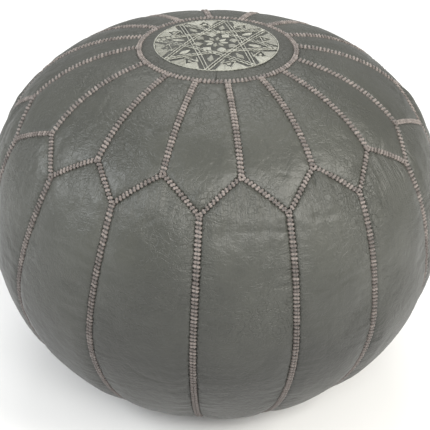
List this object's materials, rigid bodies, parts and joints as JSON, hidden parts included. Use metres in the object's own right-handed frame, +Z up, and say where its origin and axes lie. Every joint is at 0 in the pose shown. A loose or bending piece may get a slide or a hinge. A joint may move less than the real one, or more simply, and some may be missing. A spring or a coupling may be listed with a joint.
{
  "type": "moroccan leather pouf",
  "caption": "Round overstuffed floor pouf of hand-stitched leather petals and side panels, with an embroidered star medallion on top and a zip in its base.",
  "frame": {"origin": "middle of the flat base, on the floor", "axes": "+Z up through the middle of the medallion; +X along the zip in the base; -Y to the front"},
  "size_m": [0.5046, 0.5046, 0.4142],
  "materials": {
    "cover_leather": "semi-matte grey sheepskin with fine wrinkles",
    "base_leather": "semi-matte grey leather",
    "medallion_leather": "dark grey leather under the embroidery",
    "embroidery_thread": "satin silver-beige embroidery thread",
    "seam_thread": "taupe waxed hand-stitching thread",
    "zip_tape": "woven dark grey tape",
    "zip_metal": "satin nickel",
    "liner_cotton": "plain undyed cotton",
    "stuffing_fibre": "loose cotton fibre"
  },
  "bodies": {
    "cover": {"petal_01": "cover_leather", "petal_02": "cover_leather", "petal_03": "cover_leather", "petal_04": "cover_leather", "petal_05": "cover_leather", "petal_06": "cover_leather", "petal_07": "cover_leather", "petal_08": "cover_leather", "petal_09": "cover_leather", "petal_10": "cover_leather", "petal_11": "cover_leather", "petal_12": "cover_leather", "petal_13": "cover_leather", "petal_14": "cover_leather", "petal_15": "cover_leather", "petal_16": "cover_leather", "side_panel_01": "cover_leather", "side_panel_02": "cover_leather", "side_panel_03": "cover_leather", "side_panel_04": "cover_leather", "side_panel_05": "cover_leather", "side_panel_06": "cover_leather", "side_panel_07": "cover_leather", "side_panel_08": "cover_leather", "side_panel_09": "cover_leather", "side_panel_10": "cover_leather", "side_panel_11": "cover_leather", "side_panel_12": "cover_leather", "side_panel_13": "cover_leather", "side_panel_14": "cover_leather", "side_panel_15": "cover_leather", "side_panel_16": "cover_leather", "base_half_left": "base_leather", "base_half_right": "base_leather", "top_medallion": "medallion_leather", "medallion_embroidery": "embroidery_thread", "medallion_ring_cord": "seam_thread", "petal_seam_cord": "seam_thread", "side_seam_cord": "seam_thread", "zip_tape_left": "zip_tape", "zip_tape_right": "zip_tape", "zip_teeth_left": "zip_metal", "zip_teeth_right": "zip_metal", "zip_top_stop": "zip_metal", "zip_bottom_stop": "zip_metal", "inner_liner": "liner_cotton", "stuffing": "stuffing_fibre"},
    "zip_slider": {"zip_slider": "zip_metal"},
    "zip_pull_tab": {"zip_pull_tab": "zip_metal"}
  },
  "joints": [
    {"name": "zip_slide", "type": "slide", "parent": "cover", "child": "zip_slider", "axis": [1, 0, 0], "range_m": [0, 0.15]},
    {"name": "pull_tab_hinge", "type": "hinge", "parent": "zip_slider", "child": "zip_pull_tab", "pos_m": [-0.075, 0, 0.0025], "axis": [0, -1, 0], "range_deg": [0, 170]}
  ]
}
